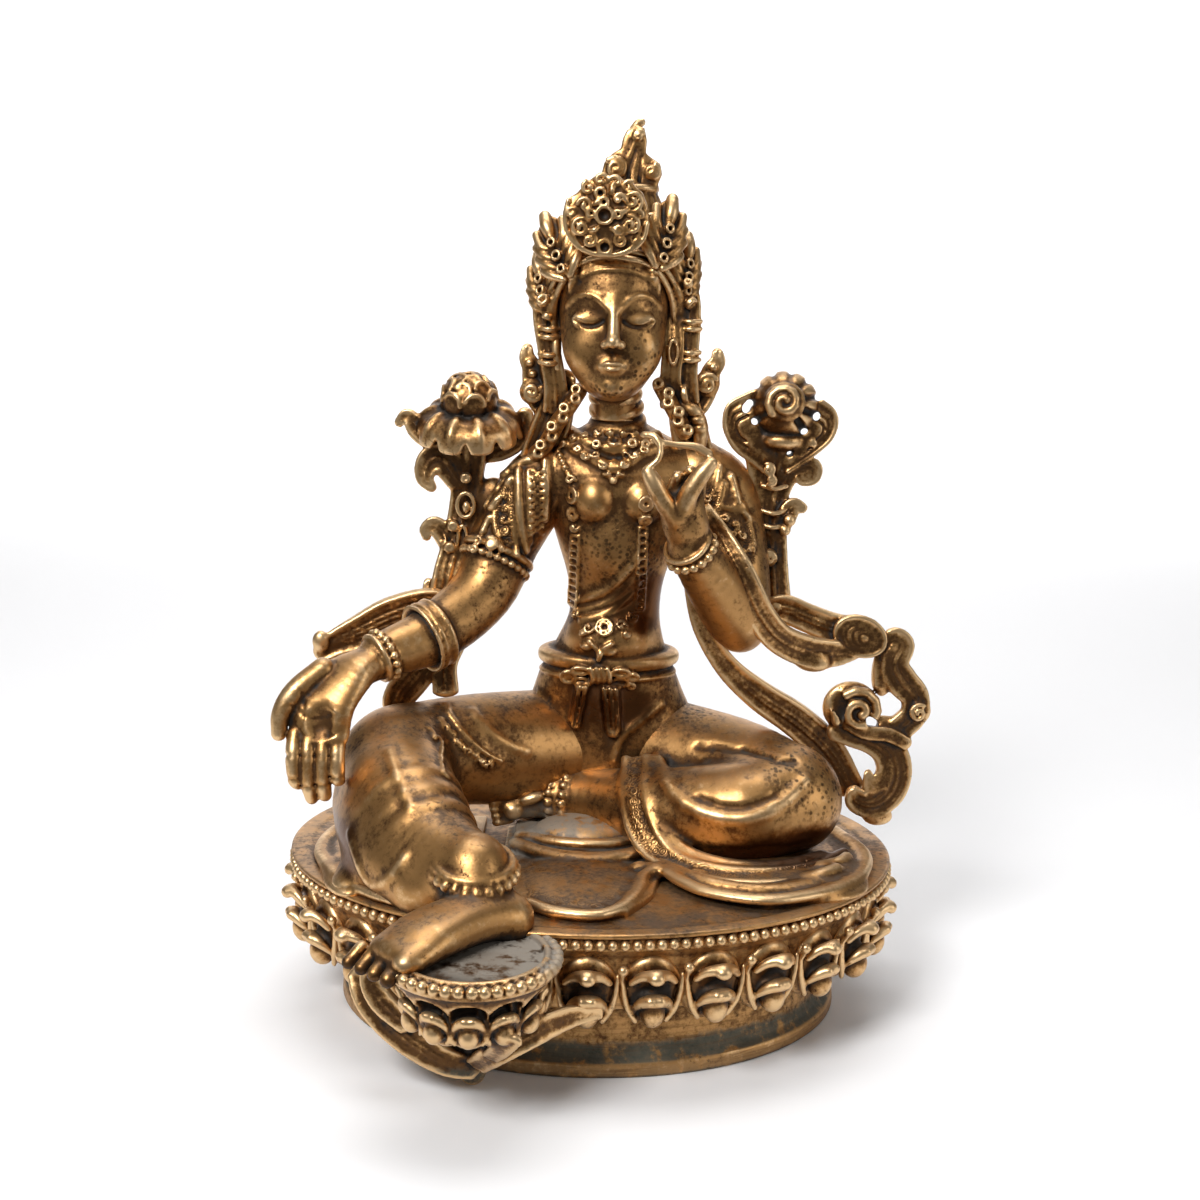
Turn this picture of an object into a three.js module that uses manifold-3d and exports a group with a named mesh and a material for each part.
// A seated goddess in cast, gilded bronze on an oval lotus seat, of the Himalayan type with one leg
// let down. Millimetres, +Z up. She faces -Y, and the origin is the middle of the base's underside.
// Two castings: the figure with her flowers and scarves, and the lotus base with its small footrest.
import * as THREE from 'three';
import { mergeVertices } from 'three/addons/utils/BufferGeometryUtils.js';
import Module from 'manifold-3d';

const wasm = await Module();
wasm.setup();
const V = (x, y, z) => new THREE.Vector3(x, y, z);

// The lotus base.
const BASE_HEIGHT = 40; // floor to the flat top of the seat
const SEAT_HALF_WIDTH = 77; // the top lip, left to right
const SEAT_HALF_DEPTH = 62; // the top lip, front to back
const LIP_HEIGHT = 1.3;
const BEAD_ROLL = 1.4; // half thickness of the beaded roll under the lip
const PETAL_COUNT = 28;
const PETAL_HEIGHT = 17;
const PETAL_SWELL = 4.6; // how far a petal stands out of the wall behind it
const PETAL_GAP = 1.1; // from the tips of the petals up to the beaded roll
const PETAL_WALL_TOP_INSET = 2.4; // the wall behind the petals stands in from the lip by this at their tips
const PETAL_WALL_FOOT_INSET = 8; // and by this at their feet, where the neck cuts in under them
const FOOT_HALF_WIDTH = 64.2; // the moulding that the base stands on
const FOOT_LIP_HEIGHT = 3.4;
const EDGE = 0.8; // the small chamfers and steps of the mouldings
const NECK_INSET = 3.2; // the plain band above the foot moulding steps in by this
const OVAL = SEAT_HALF_DEPTH / SEAT_HALF_WIDTH;

// The footrest, a small lotus on a stem that springs from the base's front.
const FOOTREST_RADIUS = 19;
const FOOTREST_DEPTH = 17; // top of the footrest down to the foot of its bowl
const FOOTREST_PETALS = 11;
const FOOTREST_STEM_RADIUS = 6.5;
const FOOTREST_PLACE = [-25, -71]; // its middle in figure units, because it stands where her foot comes down

// The figure. Her pose and carving are shares of her height above the seat.
const FIGURE_HEIGHT = 182;
const SEAT_GAP = 0.3; // the two castings meet with this much between them
const ROOM_MARGIN = 1; // and nothing of hers comes lower within this much of the base's outline
const U = FIGURE_HEIGHT / 182;

// How many facets each casting is left with.
const FIGURE_FACETS = 7000;
const BASE_FACETS = 2900;

// A casting's outside comes from closed pieces that are joined into one solid.
function solidOf(geometry) {
  const plain = geometry.clone();
  plain.deleteAttribute('normal');
  plain.deleteAttribute('uv');
  const merged = mergeVertices(plain, 1e-5);
  return new wasm.Manifold(new wasm.Mesh({
    numProp: 3,
    vertProperties: new Float32Array(merged.attributes.position.array),
    triVerts: new Uint32Array(merged.index.array),
  }));
}

function geometryOf(solid) {
  const mesh = solid.getMesh();
  const geometry = new THREE.BufferGeometry();
  geometry.setAttribute('position', new THREE.BufferAttribute(new Float32Array(mesh.vertProperties), 3));
  geometry.setIndex(new THREE.BufferAttribute(new Uint32Array(mesh.triVerts), 1));
  geometry.computeVertexNormals();
  return geometry;
}

// Joins leave many small facets. This takes out the flattest edges until the count given is left.
// Each point keeps the planes of its first facets as a quadric, and an edge goes where it strays least.
function lightened(geometry, count) {
  const points = [];
  const { position } = geometry.attributes;
  for (let i = 0; i < position.count; i++) points.push(new THREE.Vector3().fromBufferAttribute(position, i));
  const faces = Array.from({ length: geometry.index.count / 3 }, (_, f) => (
    [0, 1, 2].map((k) => geometry.index.getX(3 * f + k))));
  const around = points.map(() => new Set());
  faces.forEach((face, f) => face.forEach((i) => around[i].add(f)));
  const normalOf = ([a, b, c], moved, to) => {
    const [p, q, r] = [a, b, c].map((i) => (moved.includes(i) ? to : points[i]));
    return q.clone().sub(p).cross(r.clone().sub(p));
  };
  const quadrics = points.map(() => new Float64Array(10));
  for (const face of faces) {
    const normal = normalOf(face, [], null);
    const area = normal.length();
    if (area < 1e-9) continue;
    normal.divideScalar(area);
    const plane = [normal.x, normal.y, normal.z, -normal.dot(points[face[0]])];
    for (const i of face) {
      let k = 0;
      for (let row = 0; row < 4; row++) {
        for (let column = row; column < 4; column++) quadrics[i][k++] += area * plane[row] * plane[column];
      }
    }
  }
  const stray = (a, b, { x, y, z }) => {
    const at = [x, y, z, 1];
    let sum = 0;
    let k = 0;
    for (let row = 0; row < 4; row++) {
      for (let column = row; column < 4; column++) {
        sum += (row === column ? 1 : 2) * (quadrics[a][k] + quadrics[b][k]) * at[row] * at[column];
        k += 1;
      }
    }
    return Math.max(0, sum);
  };
  const neighbours = (i) => new Set([...around[i]].flatMap((f) => faces[f]).filter((j) => j !== i));
  const stamps = points.map(() => 0);
  const candidate = (a, b) => {
    const places = [points[a], points[b], points[a].clone().lerp(points[b], 0.5)];
    const costs = places.map((place) => stray(a, b, place) + 1e-3 * points[a].distanceToSquared(points[b]));
    const best = costs.indexOf(Math.min(...costs));
    return { a, b, place: places[best].clone(), cost: costs[best], stamp: stamps[a] + stamps[b] };
  };
  const heap = [];
  const push = (item) => {
    heap.push(item);
    for (let i = heap.length - 1; i > 0;) {
      const parent = (i - 1) >> 1;
      if (heap[parent].cost <= heap[i].cost) break;
      [heap[parent], heap[i]] = [heap[i], heap[parent]];
      i = parent;
    }
  };
  const pop = () => {
    const top = heap[0];
    const last = heap.pop();
    if (heap.length) heap[0] = last;
    for (let i = 0; ;) {
      const [left, right] = [2 * i + 1, 2 * i + 2];
      let least = i;
      if (left < heap.length && heap[left].cost < heap[least].cost) least = left;
      if (right < heap.length && heap[right].cost < heap[least].cost) least = right;
      if (least === i) break;
      [heap[least], heap[i]] = [heap[i], heap[least]];
      i = least;
    }
    return top;
  };
  points.forEach((_, a) => neighbours(a).forEach((b) => a < b && push(candidate(a, b))));
  let left = faces.length;
  while (left > count && heap.length) {
    const { a, b, place, stamp } = pop();
    if (!around[a].size || !around[b].size || stamp !== stamps[a] + stamps[b]) continue;
    const [nearA, nearB] = [neighbours(a), neighbours(b)];
    if (!nearA.has(b) || [...nearA].filter((i) => nearB.has(i)).length !== 2) continue;
    const shared = [...around[a]].filter((f) => around[b].has(f));
    const kept = [...around[a], ...around[b]].filter((f) => !shared.includes(f));
    const flips = kept.some((f) => {
      const before = normalOf(faces[f], [], null);
      const after = normalOf(faces[f], [a, b], place);
      return after.length() < 1e-4 || before.dot(after) < 0.3 * before.length() * after.length();
    });
    if (flips) continue;
    for (const f of shared) faces[f].forEach((i) => around[i].delete(f));
    for (const f of around[b]) {
      faces[f] = faces[f].map((i) => (i === b ? a : i));
      around[a].add(f);
    }
    around[b].clear();
    points[a].copy(place);
    quadrics[a].forEach((value, k) => { quadrics[a][k] = value + quadrics[b][k]; });
    stamps[a] += 1;
    left -= 2;
    for (const i of neighbours(a)) {
      stamps[i] += 1;
      push(candidate(Math.min(a, i), Math.max(a, i)));
    }
    for (const i of neighbours(a)) {
      for (const j of neighbours(i)) {
        if (j !== a) push(candidate(Math.min(i, j), Math.max(i, j)));
      }
    }
  }
  const used = new Map();
  const index = faces.filter((face, f) => around[face[0]].has(f)).flat();
  index.forEach((i) => used.has(i) || used.set(i, used.size));
  const light = new THREE.BufferGeometry().setFromPoints([...used.keys()].map((i) => points[i]));
  light.setIndex(index.map((i) => used.get(i)));
  light.computeVertexNormals();
  return light;
}

function joined(geometries) {
  return geometries.map(solidOf).reduce((whole, piece) => whole.add(piece));
}

// The outer skin alone, without the small voids that overlapping pieces can close in.
function largest(solid) {
  return solid.decompose().sort((a, b) => b.volume() - a.volume())[0];
}

function signedVolume(points, index) {
  let sum = 0;
  for (let i = 0; i < index.length; i += 3) {
    const [a, b, c] = [points[index[i]], points[index[i + 1]], points[index[i + 2]]];
    sum += a.dot(b.clone().cross(c));
  }
  return sum;
}

// A closed skin over rings of equally many points, with a fan at either end.
function skin(rings) {
  const n = rings[0].length;
  const points = rings.flat();
  const index = [];
  for (let r = 0; r + 1 < rings.length; r++) {
    for (let k = 0; k < n; k++) {
      const a = r * n + k;
      const b = r * n + (k + 1) % n;
      index.push(a, b, a + n, b, b + n, a + n);
    }
  }
  for (const [ring, flip] of [[0, true], [rings.length - 1, false]]) {
    const middle = rings[ring].reduce((sum, p) => sum.add(p), V(0, 0, 0)).divideScalar(n);
    const centre = points.push(middle) - 1;
    for (let k = 0; k < n; k++) {
      const a = ring * n + k;
      const b = ring * n + (k + 1) % n;
      index.push(...(flip ? [b, a, centre] : [a, b, centre]));
    }
  }
  if (signedVolume(points, index) < 0) index.reverse();
  const geometry = new THREE.BufferGeometry().setFromPoints(points);
  geometry.setIndex(index);
  return geometry;
}

function ellipseRing(centre, wide, deep, halfWide, halfDeep, sides) {
  return Array.from({ length: sides }, (_, k) => {
    const angle = 2 * Math.PI * k / sides;
    return centre.clone()
      .addScaledVector(wide, halfWide * Math.cos(angle))
      .addScaledVector(deep, halfDeep * Math.sin(angle));
  });
}

function levelRing(centre, halfWidth, halfDepth, sides) {
  return ellipseRing(centre, V(1, 0, 0), V(0, 1, 0), halfWidth, halfDepth, sides);
}

// A limb, stem, lock or ribbon: stations [x, y, z, half width, half depth] in figure units, on a smooth line.
// The width lies along the axis given as wide. The ends are rounded.
function limb(stations, { sides = 8, steps = 0, wide = [1, 0, 0] } = {}) {
  const places = stations.map(([x, y, z]) => V(x, y, z).multiplyScalar(U));
  const line = new THREE.CatmullRomCurve3(places, false, 'centripetal');
  const count = steps || stations.length - 1;
  const radii = stations.map(([, , , w, d]) => [w * U, (d ?? w) * U]);
  const sized = (t) => {
    const place = t * (stations.length - 1);
    const low = Math.min(Math.floor(place), stations.length - 2);
    const mix = place - low;
    return [0, 1].map((i) => radii[low][i] * (1 - mix) + radii[low + 1][i] * mix);
  };
  const ringAt = (t, along, shrink) => {
    const tangent = line.getTangent(t);
    const across = V(...wide).addScaledVector(tangent, -tangent.dot(V(...wide))).normalize();
    const deep = tangent.clone().cross(across);
    const [w, d] = sized(t);
    const centre = line.getPoint(t).addScaledVector(tangent, along * Math.min(w, d));
    return ellipseRing(centre, across, deep, w * shrink, d * shrink, sides);
  };
  const rings = [ringAt(0, -0.75, 0.5)];
  for (let i = 0; i <= count; i++) rings.push(ringAt(i / count, 0, 1));
  rings.push(ringAt(1, 0.75, 0.5));
  return skin(rings);
}

// A stack of level ovals: [height, middle x, middle y, half width, half depth], in figure units.
function stack(levels, sides = 12) {
  return skin(levels.map(([z, x, y, w, d]) => (
    levelRing(V(x, y, z).multiplyScalar(U), w * U, d * U, sides))));
}

function ball(x, y, z, rx, ry = rx, rz = rx, across = 6, up = 4) {
  return new THREE.SphereGeometry(1, across, up).rotateX(Math.PI / 2).scale(rx * U, ry * U, rz * U)
    .translate(x * U, y * U, z * U);
}

// A bangle: a low-sided ring about a limb, facing along the direction given.
function bangle(x, y, z, along, radius, thickness, sides = 9) {
  const turn = new THREE.Quaternion().setFromUnitVectors(V(0, 0, 1), V(...along).normalize());
  return new THREE.TorusGeometry(radius * U, thickness * U, 4, sides).applyQuaternion(turn)
    .translate(x * U, y * U, z * U);
}

// A scroll: a ribbon that winds inwards in the plane through its middle, seen from the front.
function scroll(x, y, z, radius, thickness, options = {}) {
  const { start = 0, turns = 1.2, hand = 1, deep = thickness, steps = 7 } = options;
  const stations = Array.from({ length: steps + 1 }, (_, i) => {
    const t = i / steps;
    const angle = start + hand * turns * 2 * Math.PI * t;
    const reach = radius * (1 - 0.8 * t);
    return [x + reach * Math.cos(angle), y, z + reach * Math.sin(angle), deep, thickness * (1 - 0.35 * t)];
  });
  return limb(stations, { sides: 4, wide: [0, 1, 0] });
}

// A plate with the outline given, standing on its foot: up runs to its tip, and out is where it faces.
function plate(outline, thickness, foot, up, out) {
  const shape = new THREE.Shape(outline.map(([a, b]) => new THREE.Vector2(a, b)));
  const geometry = new THREE.ExtrudeGeometry(shape, { depth: thickness, bevelEnabled: false })
    .translate(0, 0, -thickness / 2);
  const rise = V(...up).normalize();
  const face = V(...out).addScaledVector(rise, -rise.dot(V(...out))).normalize();
  const basis = new THREE.Matrix4().makeBasis(rise.clone().cross(face), rise, face);
  return geometry.applyMatrix4(basis).scale(U, U, U).translate(foot[0] * U, foot[1] * U, foot[2] * U);
}

// A box that takes away everything under a height.
function under(height) {
  return solidOf(new THREE.BoxGeometry(400, 400, 100).translate(0, 0, height - 50));
}

// The oval of the seat, seen from above, and places at equal steps along it, the first at the front.
function ovalStations(halfWidth, count) {
  const oval = new THREE.EllipseCurve(0, 0, halfWidth, halfWidth * OVAL, -Math.PI / 2, 1.5 * Math.PI);
  return Array.from({ length: count }, (_, i) => {
    const point = oval.getPointAt(i / count);
    const tangent = oval.getTangentAt(i / count);
    return { place: V(point.x, point.y, 0), out: V(tangent.y, -tangent.x, 0) };
  });
}

// A full lotus petal with a boss on it. It leans out from the wall by the angle given.
function petal({ place, out }, height, halfWidth, halfHeight, swell, lean) {
  const rise = V(0, 0, Math.cos(lean)).addScaledVector(out, Math.sin(lean));
  const across = rise.clone().cross(out).normalize();
  const face = across.clone().cross(rise);
  const at = place.clone().setZ(height);
  const basis = new THREE.Matrix4().makeBasis(across, rise, face).setPosition(at);
  const blade = new THREE.SphereGeometry(1, 6, 4).scale(halfWidth, halfHeight, swell);
  const boss = new THREE.SphereGeometry(1, 5, 3).scale(halfWidth * 0.5, halfHeight * 0.5, swell * 0.6)
    .translate(0, -halfHeight * 0.2, swell * 0.85);
  return [blade, boss].map((form) => form.applyMatrix4(basis));
}

function lotusBase() {
  const beadHeight = BASE_HEIGHT - LIP_HEIGHT - BEAD_ROLL;
  const petalTop = beadHeight - BEAD_ROLL - PETAL_GAP;
  const petalFoot = petalTop - PETAL_HEIGHT;
  const neck = FOOT_HALF_WIDTH - NECK_INSET;
  const wallTop = SEAT_HALF_WIDTH - PETAL_WALL_TOP_INSET;
  const wallFoot = SEAT_HALF_WIDTH - PETAL_WALL_FOOT_INSET;
  const profile = [
    [0, FOOT_HALF_WIDTH - EDGE],
    [EDGE, FOOT_HALF_WIDTH],
    [FOOT_LIP_HEIGHT, FOOT_HALF_WIDTH],
    [FOOT_LIP_HEIGHT + EDGE, neck],
    [(FOOT_LIP_HEIGHT + petalFoot) / 2, neck - EDGE],
    [petalFoot, neck + EDGE],
    [petalFoot + EDGE, wallFoot],
    [petalTop, wallTop],
    [beadHeight - BEAD_ROLL, wallTop],
    [beadHeight, SEAT_HALF_WIDTH],
    [beadHeight + BEAD_ROLL, SEAT_HALF_WIDTH - BEAD_ROLL],
    [BASE_HEIGHT - LIP_HEIGHT / 2, SEAT_HALF_WIDTH],
    [BASE_HEIGHT, SEAT_HALF_WIDTH - LIP_HEIGHT / 2],
  ];
  const wall = skin(profile.map(([z, w]) => levelRing(V(0, 0, z), w, w * OVAL, 44)));
  const lean = Math.atan2(wallTop - wallFoot, PETAL_HEIGHT);
  const middle = (wallTop + wallFoot) / 2;
  const pitch = Math.PI * middle * (1 + OVAL) / PETAL_COUNT;
  const petals = ovalStations(middle, PETAL_COUNT).flatMap((station) => (
    petal(station, (petalFoot + petalTop) / 2, pitch * 0.48, PETAL_HEIGHT * 0.56, PETAL_SWELL, lean)));
  return joined([wall, ...petals, ...footrest()]).subtract(under(0));
}

// The small lotus under her foot, on a stem that rises from the front of the foot moulding.
function footrest() {
  const bottom = BASE_HEIGHT - FOOTREST_DEPTH;
  const beadHeight = BASE_HEIGHT - LIP_HEIGHT - BEAD_ROLL;
  const centre = V(...FOOTREST_PLACE, 0).multiplyScalar(U);
  const [x, y] = [centre.x, centre.y];
  const profile = [
    [bottom, FOOTREST_RADIUS * 0.45],
    [bottom + FOOTREST_DEPTH * 0.2, FOOTREST_RADIUS * 0.62],
    [beadHeight - BEAD_ROLL - 1, FOOTREST_RADIUS - 2.6],
    [beadHeight, FOOTREST_RADIUS - 0.5],
    [beadHeight + BEAD_ROLL, FOOTREST_RADIUS - 1.3],
    [BASE_HEIGHT, FOOTREST_RADIUS - 0.9],
  ];
  const bowl = skin(profile.map(([z, r]) => levelRing(V(x, y, z), r, r, 18)));
  const lean = 0.55;
  const petals = Array.from({ length: FOOTREST_PETALS }, (_, i) => {
    const angle = 2 * Math.PI * (i + 0.5) / FOOTREST_PETALS;
    const out = V(Math.cos(angle), Math.sin(angle), 0);
    const station = { place: centre.clone().addScaledVector(out, FOOTREST_RADIUS * 0.74), out };
    const height = bottom + FOOTREST_DEPTH * 0.42;
    return petal(station, height, FOOTREST_RADIUS * 0.25, FOOTREST_DEPTH * 0.36, PETAL_SWELL * 0.56, lean);
  });
  const foot = FOOT_HALF_WIDTH * OVAL * Math.sqrt(1 - (x / FOOT_HALF_WIDTH) ** 2);
  const r = FOOTREST_STEM_RADIUS / U;
  const stem = limb([
    [x / U, (y + 2) / U, (bottom + 3) / U, r * 1.2],
    [x / U, (y + 8) / U, (bottom - 6) / U, r],
    [x / U, -(foot + 3) / U, FOOT_LIP_HEIGHT * 2 / U, r * 0.9],
    [x / U, -(foot - 3) / U, FOOT_LIP_HEIGHT / U, r * 0.7],
  ]);
  const leaf = limb([
    [(x - 1) / U, -(foot + 6) / U, FOOT_LIP_HEIGHT * 2.4 / U, r * 0.5],
    [(x - 11) / U, -(foot + 5) / U, bottom * 0.6 / U, r * 0.75, r * 0.4],
    [(x - 21) / U, -(foot + 2) / U, (bottom - 3) / U, r * 0.6, r * 0.4],
  ], { steps: 5, sides: 8, wide: [0, 0, 1] });
  return [bowl, ...petals.flat(), stem, leaf];
}

// Her trunk, from the lap to the neck: [height, middle x, middle y, half width, half depth].
const TRUNK = [
  [0, 4, 26, 24, 16],
  [12, 4, 26, 26, 18],
  [24, 4, 25, 24.5, 17],
  [34, 3.6, 23, 20.5, 15],
  [42, 3.3, 20.5, 17.6, 13],
  [50, 3.8, 18.6, 14, 11],
  [58, 4.7, 17.2, 11.8, 9.4],
  [67, 4.8, 16.5, 12.6, 9.7],
  [77, 5, 16, 15.8, 11],
  [87, 5.2, 15.5, 19, 12],
  [95, 5.4, 15.5, 21.5, 12],
  [101, 5, 16, 18, 10],
  [106, 4.4, 15, 10, 7.8],
  [109, 4, 14, 6.3, 6.3],
  [118, 3.2, 11.5, 5.8, 5.8],
];

// A place on the front of her trunk.
function onTrunk(x, z, proud = 0) {
  const above = Math.max(1, TRUNK.findIndex(([height]) => height > z));
  const [low, high] = [TRUNK[above - 1], TRUNK[above]];
  const mix = (z - low[0]) / (high[0] - low[0]);
  const [, cx, cy, w, d] = low.map((value, i) => value * (1 - mix) + high[i] * mix);
  const share = Math.min(0.98, Math.abs(x - cx) / w);
  return [x, cy - d * Math.sqrt(1 - share * share) - proud, z];
}

function trunk() {
  const belt = stack([[43.6, 3.4, 20, 17, 12.6], [45.4, 3.4, 19.8, 18.6, 14], [47.2, 3.6, 19.4, 16.8, 12.6]]);
  const bust = [-0.8, 10.4].map((x) => ball(x, 7.2, 89, 6.6, 6.8, 6.2, 7, 5));
  const buckle = ball(...onTrunk(2.4, 43, 1), 9.6, 2.8, 3.6, 7, 4);
  const tassels = [-2.6, 4.8].map((x) => limb([
    [...onTrunk(x, 42, 1), 2, 1.6],
    [...onTrunk(x * 1.1, 28.6, 0.6), 2.4, 1.8],
  ], { sides: 4 }));
  const collar = new THREE.TorusGeometry(10.4 * U, 2.2 * U, 4, 11).scale(1.12, 0.95, 0.8).rotateX(0.42)
    .translate(4.4 * U, 12.8 * U, 103.4 * U);
  const bib = ball(...onTrunk(3, 99, 0.4), 7.4, 2, 5.4, 6, 4);
  const chains = [[-9.4, -9.2, -6.6, -5.4], [19.4, 18.6, 14, 12]].map((xs) => (
    limb(xs.map((x, i) => [...onTrunk(x, 101 - i * 15, 0.3), 1.8, 1.1]), { sides: 4, steps: 4 })));
  const rosette = ball(...onTrunk(2.8, 56, 0.8), 4.2, 2, 3.4, 6, 4);
  return [stack(TRUNK), belt, ...bust, buckle, ...tassels, collar, bib, ...chains, rosette];
}

const HEAD = [
  [114.8, 2.6, -0.6, 3.6, 3.4],
  [117.8, 2.5, 2.4, 8, 7.6],
  [122.4, 2.4, 5.4, 11.6, 11.6],
  [129, 2.3, 7.4, 13.8, 14.4],
  [137, 2.3, 8.4, 14.2, 15.3],
  [145, 2.4, 9, 13.6, 15],
  [152, 2.8, 9.6, 11.4, 12.8],
  [157.5, 3.2, 10, 8, 9],
];

function head() {
  const nose = limb([[2.2, -5, 138, 1.3], [2.3, -8, 129.2, 2.2, 1.6]], { sides: 4 });
  const hair = limb([[4.6, 16, 151, 10], [6.6, 15.5, 161, 7.8], [6.6, 14.5, 168, 4.4]], { sides: 7 });
  const flame = limb([
    [6.4, 14.5, 164, 6, 3], [6.2, 14.2, 170, 4.8, 2.4], [6.8, 14, 176, 2.8, 2], [7.3, 14, 180.9, 1.4, 1],
  ], { sides: 6 });
  const curls = [scroll(2.4, 14, 170.6, 3, 1.3, { start: 1.2, deep: 1.6 }),
    scroll(10, 14, 168.6, 2.4, 1.2, { start: 2.2, hand: -1, deep: 1.5 })];
  // [side, how far out the lock hangs, its half width, how far out the ribbon's tip flies]
  const sides = [[-1, 14, 2.3, 4.9], [1, 19.6, 3.7, 8.4]].flatMap(([side, out, half, flare]) => {
    const x = (more) => side * (out + more);
    const lock = limb([
      [x(-1), 10, 146, half, 4.5], [x(0), 8, 134, half, 5.5], [x(-0.6), 7, 121, half, 5.4],
      [x(0), 9, 110, 3, 4], [x(5), 12, 100, 3, 2.6],
    ], { sides: 6, steps: 5 });
    const ribbon = limb([
      [x(0), 13, 110, 3, 2.2], [x(flare * 0.6), 12.5, 117, 3.6, 2.2], [x(flare * 0.85), 12, 121.4, 2, 1.6],
      [x(flare), 12, 126.2, 1.3, 1.2],
    ], { sides: 5 });
    return [lock, ribbon];
  });
  return [stack(HEAD), nose, hair, flame, ...curls, ...sides];
}

// The outline of a lobed crown leaf, the same on both sides of its middle.
function leafOutline(halfWidth, height, lobes) {
  const side = Array.from({ length: lobes * 2 }, (_, i) => {
    const t = i / (lobes * 2);
    const swell = Math.sin(Math.PI * (0.14 + 0.76 * t)) ** 0.8;
    return [halfWidth * swell * (i % 2 ? 1 : 0.8), height * t * 0.95];
  });
  return [...side, [0, height], ...side.map(([w, h]) => [-w, h]).reverse()];
}

function crown() {
  const band = new THREE.TorusGeometry(14.8 * U, 2 * U, 4, 12).scale(1, 1.08, 1.3).rotateX(0.42)
    .translate(2.4 * U, 9 * U, 146 * U);
  // [foot, tip, half width, facing], from her right round to her left
  const leaves = [
    [[-12.6, 7, 137], [-18.6, 11, 149.5], 4.6, [-1, -0.5, 0.2]],
    [[-7.6, -2, 142], [-16.6, 2, 159.5], 5.6, [-0.7, -0.8, 0.2]],
    [[0, -7, 146.4], [1.2, -8.6, 167], 10.6, [-0.1, -1, 0]],
    [[10.6, -2, 143], [16.6, 3, 163.5], 5.6, [0.7, -0.8, 0.2]],
    [[17.2, 7, 139], [21.4, 11, 155], 4.6, [1, -0.5, 0.2]],
  ];
  return [band, ...leaves.flatMap(([foot, tip, halfWidth, out]) => {
    const up = V(...tip).sub(V(...foot));
    const blade = plate(leafOutline(halfWidth, up.length(), 3), 2.8, foot, up.toArray(), out);
    const at = V(...foot).addScaledVector(up, 0.42).addScaledVector(V(...out).normalize(), 1.4);
    return [blade, ball(at.x, at.y, at.z, halfWidth * 0.4, 1.8, halfWidth * 0.4, 5, 3)];
  })];
}

// An arm from the shoulder to the wrist, with an armlet at the sleeve's end and a bracelet.
function arm(shoulder, sleeve, elbow, forearm, wrist) {
  const middle = sleeve.map((value, i) => value * 0.4 + elbow[i] * 0.6);
  const fall = V(...elbow).sub(V(...sleeve)).toArray();
  const reach = V(...wrist).sub(V(...forearm)).toArray();
  return [
    limb([[...shoulder, 9.6, 10], [...sleeve, 9.2, 9.5], [...elbow, 8, 8.2]], { sides: 8, steps: 3 }),
    limb([[...elbow, 8], [...forearm, 7.4], [...wrist, 5.6]], { sides: 8, steps: 2 }),
    bangle(...middle, fall, 8.8, 1.6),
    bangle(...wrist, reach, 5.8, 1.5, 7),
  ];
}

// A finger or thumb on three joints.
function finger(knuckle, middle, tip, radius) {
  return limb([[...knuckle, radius * 1.15], [...middle, radius], [...tip, radius * 0.75]], { sides: 4 });
}

function arms() {
  const right = arm([-15.5, 15.5, 91.6], [-24, 14.6, 77], [-29.6, 9, 63.6], [-41, 0, 54.2], [-53.6, -9, 50]);
  const bracelet = bangle(-41.4, 0, 53.8, [-12, -9, -5], 8.6, 2.2, 10);
  const palm = limb([[-56, -11, 48, 5.4, 4.6], [-62, -18, 42, 7.4, 4.2], [-65, -23.5, 29, 8, 3]],
    { steps: 3, sides: 7 });
  const fingers = [-2, -1, 0, 1].map((i) => {
    const x = -63.4 + i * 4.1;
    return finger([x, -24, 30], [x - 0.4, -27.5, 24], [x - 0.4, -26.5, 17 + Math.abs(i + 0.5)], 2.2);
  });
  const thumb = finger([-62, -17, 43], [-71.6, -21, 41], [-77, -22, 34], 2.7);
  const left = arm([30.6, 15.5, 92], [34.6, 12, 76], [36.2, 5.6, 59], [29.6, -4, 69], [22.6, -11.5, 79.2]);
  const leftPalm = limb([[22.2, -12, 81, 5.2, 4.4], [20.6, -14.5, 88, 7.2, 4.2], [20.4, -15.5, 95, 6.8, 3.4]],
    { sides: 7 });
  const leftFingers = [25, 21.6].map((x) => (
    finger([x, -15, 94], [x + 0.8, -17, 100], [x + 1.8, -15.5, 104.4], 2.1)));
  const ring = [finger([17.6, -16, 95], [15.8, -18.5, 100], [15.6, -20, 103], 1.9),
    finger([16, -14, 87], [14.6, -17.5, 93], [13.6, -20, 100.4], 2.3)];
  const sprig = limb([[11, -20, 102, 1.1], [24, -17, 105.6, 1.1]], { sides: 4, wide: [0, 1, 0] });
  return [...right, bracelet, palm, ...fingers, thumb, ...left, leftPalm, ...leftFingers, ...ring, sprig];
}

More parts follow.
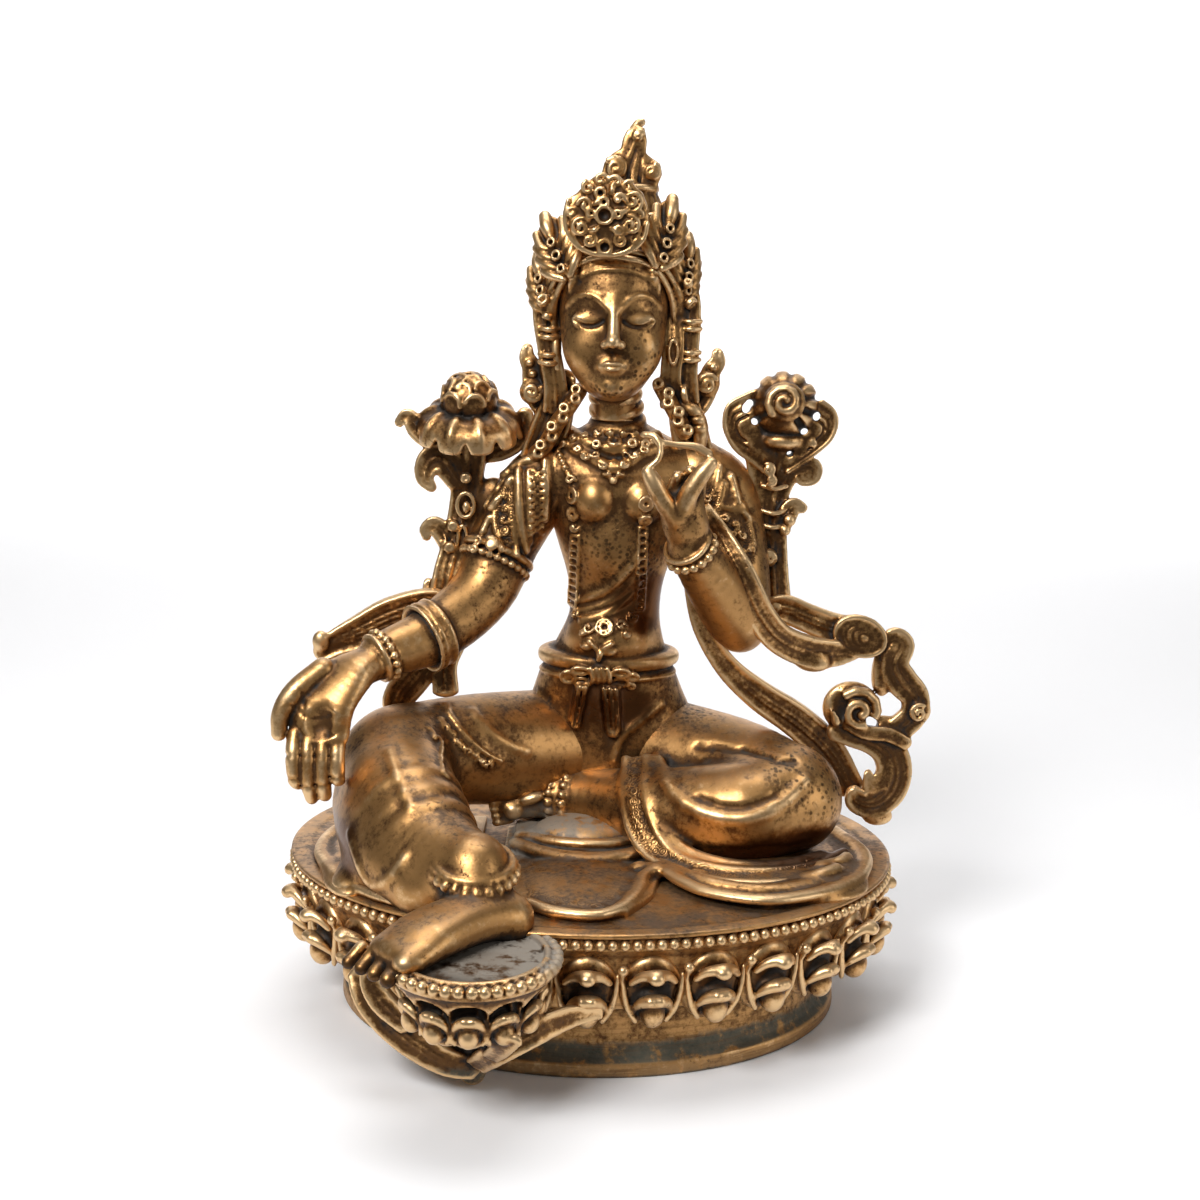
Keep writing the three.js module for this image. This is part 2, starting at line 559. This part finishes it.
// The right leg is let down on to the footrest, and the left one is folded flat on the seat.
function legs() {
  const down = limb([
    [-8, 24, 18, 16, 16], [-30, 10, 21.4, 14.6], [-48, -2, 23, 13.4], [-50.4, -10, 21.6, 13.4],
    [-45.8, -24, 17.4, 14], [-34.4, -45, 8.6, 11.2], [-25.6, -55, 8, 8.2],
  ], { sides: 10, steps: 8, wide: [0.4, 0.2, 1] });
  const foot = limb([
    [-17, -56, 5, 5.4, 5], [-27, -62, 7, 6.6, 7], [-36.5, -71, 4, 7.8, 5], [-42, -77, 0.6, 7.6, 3.4],
  ], { sides: 7, wide: [0.62, -0.78, 0] });
  const toes = [-2, -1, 0, 1, 2].map((i) => {
    const [x, y] = [-43.6 + i * 2.6, -78.4 - i * 2];
    return limb([[x, y, 0, 2], [x - 2.6, y - 3, -3, 1.7 + 0.15 * i]], { sides: 4 });
  });
  const anklet = bangle(-25.4, -56, 9, [-0.5, 0.8, 0.1], 8.2, 1.7);
  const hems = [
    bangle(-34, 7.4, 22, [-0.83, -0.53, 0.05], 14.4, 1.6, 11),
    bangle(-36, -42, 10, [0.5, -0.82, -0.3], 12.4, 1.5, 11),
  ];
  const folded = limb([[17, 24, 17, 16, 16], [36, 10.6, 16.4, 15], [50, -2, 15, 13.8]],
    { sides: 10, steps: 3, wide: [0.4, -0.2, 1] });
  const shin = limb([
    [52.4, -4.6, 14.4, 12.6, 12.8], [38, -10.4, 13, 12.6, 12.8], [20, -4, 11, 10.8], [4, 5.6, 9.4, 8.2],
    [-9, 10.6, 8.6, 6.2],
  ], { sides: 10, wide: [0, 0, 1] });
  const tucked = limb([[-8, 10.6, 8.6, 6.2, 5.6], [-19, 10.6, 7.6, 5.2, 6], [-29, 8.4, 5.6, 2.8, 4.4]],
    { sides: 6, wide: [0, 0, 1] });
  const tuckedAnklet = bangle(-7.6, 10.4, 8.8, [1, -0.35, 0], 6.4, 1.4, 8);
  return [down, foot, ...toes, anklet, ...hems, folded, shin, tucked, tuckedAnklet];
}

// Cloth spread on the seat: an outline from above, held inside the rim, with a raised hem line along it.
function spread(outline, thickness, hem) {
  const reach = 0.955;
  const held = outline.map(([x, y]) => {
    const share = Math.hypot(x * U / SEAT_HALF_WIDTH, y * U / (SEAT_HALF_WIDTH * OVAL));
    const scale = Math.min(1, reach / share);
    return new THREE.Vector2(x * U * scale, y * U * scale);
  });
  const points = new THREE.SplineCurve(held).getPoints(Math.round(held.length * 1.5));
  const sheet = new THREE.ExtrudeGeometry(new THREE.Shape(points), {
    depth: thickness * U, bevelEnabled: false,
  });
  const ridge = limb(points.slice(...hem).map((p) => [p.x / U, p.y / U, thickness * 0.8, 1.4, 1.2]),
    { sides: 4, wide: [0, 0, 1] });
  return [sheet, ridge];
}

function cloth() {
  const fan = spread([
    [-22, 8], [-22, -24], [-16, -44], [0, -55], [14, -53], [21, -40], [26, -22], [12, 4],
  ], 1.6, [3, 8]);
  const upperFan = spread([[-20, 8], [-18, -14], [-4, -28], [10, -27], [18, -12], [12, 4]], 2.8, [1, 7]);
  const leftSpread = spread([
    [14, 2], [18, -22], [28, -39], [42, -44.6], [58, -38], [68, -25], [70, -4], [60, 16], [36, 18],
  ], 2.2, [1, 10]);
  const rightSpread = spread([
    [-28, 14], [-56, 14], [-67, 0], [-68, -18], [-61, -34], [-50, -46], [-38, -50], [-28, -36],
  ], 2.2, [2, 10]);
  const lap = limb([
    [19, 6, 20, 1.4], [17, -9, 19.5, 1.6], [20, -19, 9, 1.7], [30, -25, 3.4, 1.8], [56, -20, 2.8, 1.6],
    [67, -4, 2.6, 1.5],
  ], { sides: 4, steps: 7 });
  const shinFold = limb([[-58, -24, 15.6, 1.6], [-49, -39, 11, 2], [-42, -43, 10.6, 2], [-35, -26, 26, 1.3]],
    { sides: 4, steps: 5, wide: [0, -1, 0] });
  return [...fan, ...upperFan, ...leftSpread, ...rightSpread, lap, shinFold];
}

// A leaf or petal: a flat lobe from its root to its tip, sagging by the amount given.
function lobe(root, tip, halfWidth, thickness, sag, wide) {
  const at = (t) => {
    const drop = [0, 0, sag * Math.sin(Math.PI * t)];
    return root.map((value, i) => value * (1 - t) + tip[i] * t + drop[i]);
  };
  return limb([[...at(0), halfWidth * 0.45, thickness], [...at(0.5), halfWidth, thickness * 0.8],
    [...at(1), halfWidth * 0.35, thickness * 0.5]], { sides: 4, wide });
}

function flowers() {
  const openStem = limb([
    [-37, 13, 60, 3.2, 2.6], [-34.6, 15.6, 76, 3], [-34, 16, 92, 3], [-33.4, 14, 107, 4.4],
  ], { sides: 6 });
  const heart = ball(-33.6, 14, 112.6, 8.4, 8.2, 8.2, 8, 6);
  const rim = Array.from({ length: 9 }, (_, i) => {
    const angle = 2 * Math.PI * (i + 0.25) / 9;
    const at = (reach, z) => [-33.4 + reach * Math.cos(angle), 14 + reach * Math.sin(angle), z];
    return lobe(at(4, 110), at(14, 103.4), 5, 1.6, 2.2, [-Math.sin(angle), Math.cos(angle), 0]);
  });
  const openLeaves = [
    lobe([-35, 16, 101], [-51, 16, 107.5], 3.4, 1.8, -3.5, [0, 0.4, 1]),
    lobe([-32, 16, 101], [-19.4, 17, 108], 3.4, 1.8, -3, [0, 0.4, 1]),
    lobe([-34, 16, 84], [-43, 16, 94], 3.2, 1.8, 1, [1, 0.4, 0.4]),
    lobe([-35, 16, 66], [-45, 16, 79], 3.4, 1.8, 1, [1, 0.4, 0.4]),
  ];
  const budStem = limb([
    [46.4, 12.5, 58, 4.2, 3], [44.6, 15.6, 76, 3.2], [44.8, 16, 94, 3.4], [46, 15, 105, 5],
  ], { sides: 6 });
  const bud = [
    ball(46, 15, 112.6, 8.4, 8, 8.2, 8, 6),
    scroll(47, 8.4, 113, 5, 1.4, { start: -0.6, turns: 1.3, hand: -1 }),
  ];
  const sepals = [-1, 1].map((side) => limb([
    [46 + side * 3, 15, 100, 2.2, 1.8], [46 + side * 11, 15.5, 101.5, 2, 1.6],
    [46 + side * 13.6, 16, 107.5, 2, 1.6], [46 + side * 10, 16, 112.5, 1.8, 1.5],
    [46 + side * 6, 15.5, 110, 1.6, 1.4],
  ], { sides: 4, wide: [0, 1, 0] }));
  const budLeaves = [
    lobe([44, 16, 86], [54, 16, 96], 3, 1.8, -1, [1, -0.4, 0.4]),
    lobe([44, 16, 78], [54, 16, 87], 2.8, 1.8, -1, [1, -0.4, 0.4]),
    lobe([46, 15, 88], [36, 15, 84], 4, 2, 2, [0, 0.2, 1]),
  ];
  return [openStem, heart, ...rim, ...openLeaves, budStem, ...bud, ...sepals, ...budLeaves];
}

function scarves() {
  const ribbon = { sides: 4, wide: [0, 1, 0] };
  const outer = limb([
    [25, 0, 88, 3, 1.5], [35.4, -7, 74, 3.4, 1.8], [42, -3, 61, 3.6, 1.8], [52, 4, 52, 3.6, 1.9],
    [64, 8, 49.6, 3.4, 1.9], [74, 9.4, 54, 3, 1.6], [79, 10, 57, 2.4, 1.4],
  ], ribbon);
  const leaf = lobe([44, 12, 59.5], [76, 10, 53], 4.6, 2, 0.6, [0, 0, 1]);
  const falling = limb([
    [23.4, 0, 68, 2.6, 1.4], [26.6, 1, 57.5, 3, 1.5], [33.4, 4, 47, 3.4, 1.8], [42.4, 6, 37.6, 3.8, 2.2],
    [52.4, 8, 30, 4, 2.4], [62, 9, 21, 4, 2.4], [71, 9, 5, 3.6, 2.2],
  ], ribbon);
  const tail = limb([
    [74, 10, 54], [80, 10, 54.6], [78, 10, 46.6], [84, 10, 40], [85.6, 10, 33.4], [81, 10, 29.6],
    [75, 10, 33],
  ].map((place) => [...place, 2.6, 2.3]), ribbon);
  const curls = [
    scroll(69, 10, 33, 6.4, 2.7, { start: 0.2, turns: 1.1, deep: 2.8 }),
    scroll(73.4, 10, 15.6, 9.6, 3.3, { start: 2.5, turns: 1.3, hand: -1, deep: 3.2, steps: 9 }),
    lobe([65, 10, 29], [72, 10, 4], 4.6, 2.6, 0, [1, 0, 0.2]),
  ];
  const behind = [
    lobe([-34, 9, 54.4], [-71, 5, 48], 5.6, 2.4, 1.6, [0, 0, 1]),
    limb([[-40, 7, 56, 3, 2.2], [-46.6, 5, 48, 3.2, 2.2], [-44, 3, 36, 2.8, 2]], ribbon),
  ];
  return [outer, leaf, falling, tail, ...curls, ...behind];
}

// The room that the base takes, grown by a margin, up to a height: the seat's oval and the footrest's disc.
function baseRoom(margin, height) {
  const seat = SEAT_HALF_WIDTH + PETAL_SWELL + margin;
  const rest = FOOTREST_RADIUS + margin;
  const depth = BASE_HEIGHT * 2;
  const [x, y] = FOOTREST_PLACE.map((value) => value * U);
  return [[seat, seat * OVAL, 0, 0, 40], [rest, rest, x, y, 24]].map(([w, d, cx, cy, sides]) => (
    new THREE.CylinderGeometry(1, 1, depth, sides).rotateX(Math.PI / 2).scale(w, d, 1)
      .translate(cx, cy, height - depth / 2)));
}

function figure() {
  const forms = [trunk(), head(), crown(), arms(), legs(), cloth(), flowers(), scarves()].flat();
  return joined(forms).translate(0, 0, BASE_HEIGHT)
    .subtract(joined(baseRoom(ROOM_MARGIN, BASE_HEIGHT + SEAT_GAP)));
}

// Worn gilding over brown bronze.
function piece(name, solid, facets, color, roughness) {
  const material = new THREE.MeshStandardMaterial({ color, roughness, metalness: 0.9 });
  const mesh = new THREE.Mesh(lightened(geometryOf(largest(solid)), facets), material);
  mesh.name = name;
  return mesh;
}

const group = new THREE.Group();
group.add(piece('tara_figure', figure(), FIGURE_FACETS, 0xb08a52, 0.36));
group.add(piece('lotus_base', lotusBase(), BASE_FACETS, 0xa07c4a, 0.42));

export default group;
